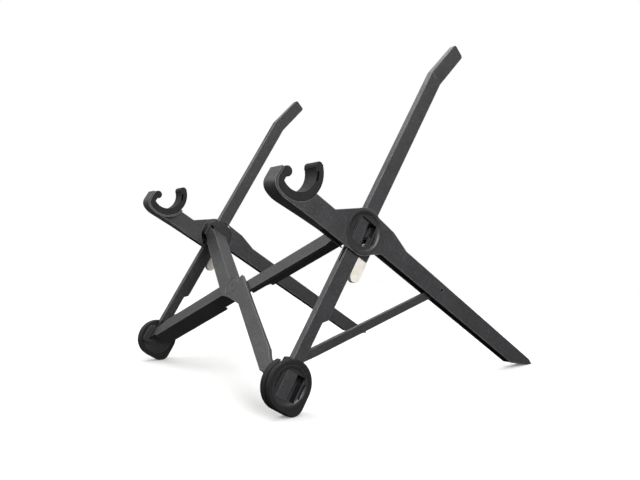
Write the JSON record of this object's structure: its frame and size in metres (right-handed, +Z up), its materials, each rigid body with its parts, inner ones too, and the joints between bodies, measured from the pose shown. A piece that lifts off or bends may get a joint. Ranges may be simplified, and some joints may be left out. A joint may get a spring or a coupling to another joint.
{
  "type": "folding computer stand",
  "caption": "Folding stand for a notebook computer or tablet: side masts on round feet, legs with grip hooks on sliders, and crossed bars between them.",
  "frame": {"origin": "on the desk, under the middle of the stand as it stands open", "axes": "+X to the right of the person facing the screen, +Y to the back, +Z up"},
  "size_m": [0.2154, 0.2558, 0.2463],
  "materials": {
    "nylon": "satin moulded glass-filled nylon, fine grain",
    "hub_nylon": "satin moulded nylon, near black",
    "rubber": "matt moulded elastomer",
    "acetal": "natural ivory acetal, slightly translucent",
    "steel": "ground dowel pin",
    "spring_steel": "drawn spring wire"
  },
  "bodies": {
    "right_frame": {"right_mast": "nylon", "right_foot_hub": "hub_nylon", "right_foot_shoe": "rubber", "right_foot_bar_pin": "steel", "right_strut_foot_pin": "steel"},
    "left_frame": {"left_mast": "nylon", "left_foot_hub": "hub_nylon", "left_foot_shoe": "rubber", "left_foot_bar_pin": "steel", "left_strut_foot_pin": "steel"},
    "front_bar": {"cross_bar_front": "nylon", "centre_rivet": "hub_nylon"},
    "rear_bar": {"cross_bar_rear": "nylon"},
    "right_slide": {"right_slider": "hub_nylon", "right_slider_bar_pin": "steel", "right_lever_pin": "steel"},
    "left_slide": {"left_slider": "hub_nylon", "left_slider_bar_pin": "steel", "left_lever_pin": "steel"},
    "right_leg_arm": {"right_leg": "nylon", "right_grip": "rubber"},
    "left_leg_arm": {"left_leg": "nylon", "left_grip": "rubber"},
    "right_brace": {"right_strut": "nylon", "right_strut_leg_pin": "steel"},
    "left_brace": {"left_strut": "nylon", "left_strut_leg_pin": "steel"},
    "right_lock": {"right_lock_lever": "acetal", "right_lever_spring": "spring_steel"},
    "left_lock": {"left_lock_lever": "acetal", "left_lever_spring": "spring_steel"}
  },
  "joints": [
    {"name": "fold", "type": "hinge", "parent": "right_frame", "child": "front_bar", "pos_m": [0.1004, -0.1122, 0.0188], "axis": [0, 0.8434, -0.5373], "range_deg": [0, 58.85]},
    {"name": "rear_bar_turn", "type": "hinge", "parent": "front_bar", "child": "rear_bar", "pos_m": [0, -0.08362, 0.06367], "axis": [0, 0.8434, -0.5373], "range_deg": [-118.71, 0]},
    {"name": "left_frame_close", "type": "hinge", "parent": "rear_bar", "child": "left_frame", "pos_m": [-0.1004, -0.1122, 0.0188], "axis": [0, 0.8434, -0.5373], "range_deg": [0, 59.35]},
    {"name": "right_slider_run", "type": "hinge", "parent": "rear_bar", "child": "right_slide", "pos_m": [0.1004, -0.05503, 0.10854], "axis": [0, 0.8434, -0.5373], "range_deg": [0, 59.35]},
    {"name": "left_slider_run", "type": "hinge", "parent": "front_bar", "child": "left_slide", "pos_m": [-0.1004, -0.05503, 0.10854], "axis": [0, 0.8434, -0.5373], "range_deg": [-59.35, 0]},
    {"name": "right_leg_turn", "type": "hinge", "parent": "right_slide", "child": "right_leg_arm", "pos_m": [0.1032, -0.05503, 0.10854], "axis": [-1, 0, 0], "range_deg": [0, 90.5]},
    {"name": "right_strut_turn", "type": "hinge", "parent": "right_frame", "child": "right_brace", "pos_m": [0.1032, -0.10547, 0.03197], "axis": [1, 0, 0], "range_deg": [0, 39.49]},
    {"name": "right_lock_release", "type": "hinge", "parent": "right_slide", "child": "right_lock", "pos_m": [0.1032, -0.05043, 0.09789], "axis": [1, 0, 0], "range_deg": [0, 10], "stiffness_Nm_per_rad": 0.02, "springref_deg": -5.73},
    {"name": "left_leg_turn", "type": "hinge", "parent": "left_slide", "child": "left_leg_arm", "pos_m": [-0.1032, -0.05503, 0.10854], "axis": [-1, 0, 0], "range_deg": [0, 90.5]},
    {"name": "left_strut_turn", "type": "hinge", "parent": "left_frame", "child": "left_brace", "pos_m": [-0.1032, -0.10547, 0.03197], "axis": [1, 0, 0], "range_deg": [0, 39.49]},
    {"name": "left_lock_release", "type": "hinge", "parent": "left_slide", "child": "left_lock", "pos_m": [-0.1032, -0.05043, 0.09789], "axis": [1, 0, 0], "range_deg": [0, 10], "stiffness_Nm_per_rad": 0.02, "springref_deg": -5.73}
  ],
  "couplings": [
    {"joint": "rear_bar_turn", "follows": "fold", "ratio": -2},
    {"joint": "left_frame_close", "follows": "fold", "ratio": 1},
    {"joint": "right_slider_run", "follows": "fold", "ratio": 1},
    {"joint": "left_slider_run", "follows": "fold", "ratio": -1},
    {"joint": "right_leg_turn", "follows": "fold", "ratio": 1.5292},
    {"joint": "right_strut_turn", "follows": "fold", "ratio": 0.66257},
    {"joint": "left_leg_turn", "follows": "fold", "ratio": 1.5292},
    {"joint": "left_strut_turn", "follows": "fold", "ratio": 0.66257}
  ]
}
